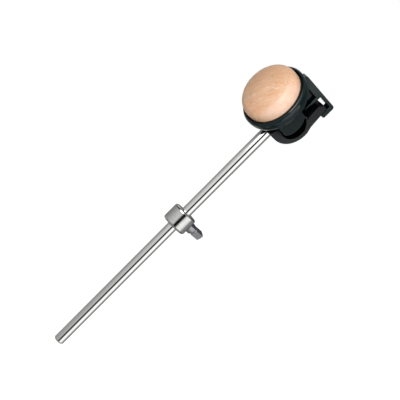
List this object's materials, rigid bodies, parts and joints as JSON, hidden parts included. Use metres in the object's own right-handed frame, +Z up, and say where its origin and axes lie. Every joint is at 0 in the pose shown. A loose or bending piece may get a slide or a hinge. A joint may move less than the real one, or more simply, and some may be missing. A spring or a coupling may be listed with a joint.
{
  "type": "bass drum beater",
  "caption": "Bass drum pedal beater: chrome rod with a clamped sliding weight and a tilting black cup head that holds a domed wood striker.",
  "frame": {"origin": "centre of the rod's free end, where the pedal's clamp grips it", "axes": "+Z up along the rod towards the head, -Y the way the head strikes, X across the head along the tilt pin"},
  "size_m": [0.0506, 0.0618, 0.2606],
  "materials": {
    "rod_chrome": "polished chrome plate",
    "collar_chrome": "satin chrome plate",
    "bolt_chrome": "dark bright plate",
    "screw_steel": "plain steel",
    "pin_steel": "ground steel",
    "washer_steel": "spring steel",
    "insert_brass": "turned brass",
    "washer_nylon": "natural nylon",
    "cup_plastic": "black, satin gloss",
    "carrier_plastic": "charcoal, fine moulded texture",
    "striker_wood": "pale hardwood, thin clear lacquer"
  },
  "bodies": {
    "rod": {"beater_shaft": "rod_chrome", "head_carrier": "carrier_plastic", "carrier_insert": "insert_brass", "carrier_set_screw": "screw_steel"},
    "head": {"head_cup": "cup_plastic", "wood_striker": "striker_wood", "striker_screw": "screw_steel", "tilt_pin": "pin_steel", "tilt_washers": "washer_nylon"},
    "weight": {"weight_collar": "collar_chrome"},
    "bolt_lift": {"bolt_washer": "washer_steel"},
    "bolt": {"key_bolt": "bolt_chrome"}
  },
  "joints": [
    {"name": "head_tilt", "type": "hinge", "parent": "rod", "child": "head", "pos_m": [0, 0.0033, 0.22985], "axis": [1, 0, 0], "range_deg": [-6.2, 6.6]},
    {"name": "weight_slide", "type": "slide", "parent": "rod", "child": "weight", "axis": [0, 0, 1], "range_m": [-0.09, 0.075]},
    {"name": "bolt_advance", "type": "slide", "parent": "weight", "child": "bolt_lift", "axis": [0, 1, 0], "range_m": [0, 0.002]},
    {"name": "bolt_turn", "type": "hinge", "parent": "bolt_lift", "child": "bolt", "pos_m": [0, 0.01, 0.1251], "axis": [0, 1, 0], "range_deg": [0, 720]}
  ],
  "couplings": [
    {"joint": "bolt_turn", "follows": "bolt_advance", "rad_per_m": 6283.2}
  ]
}
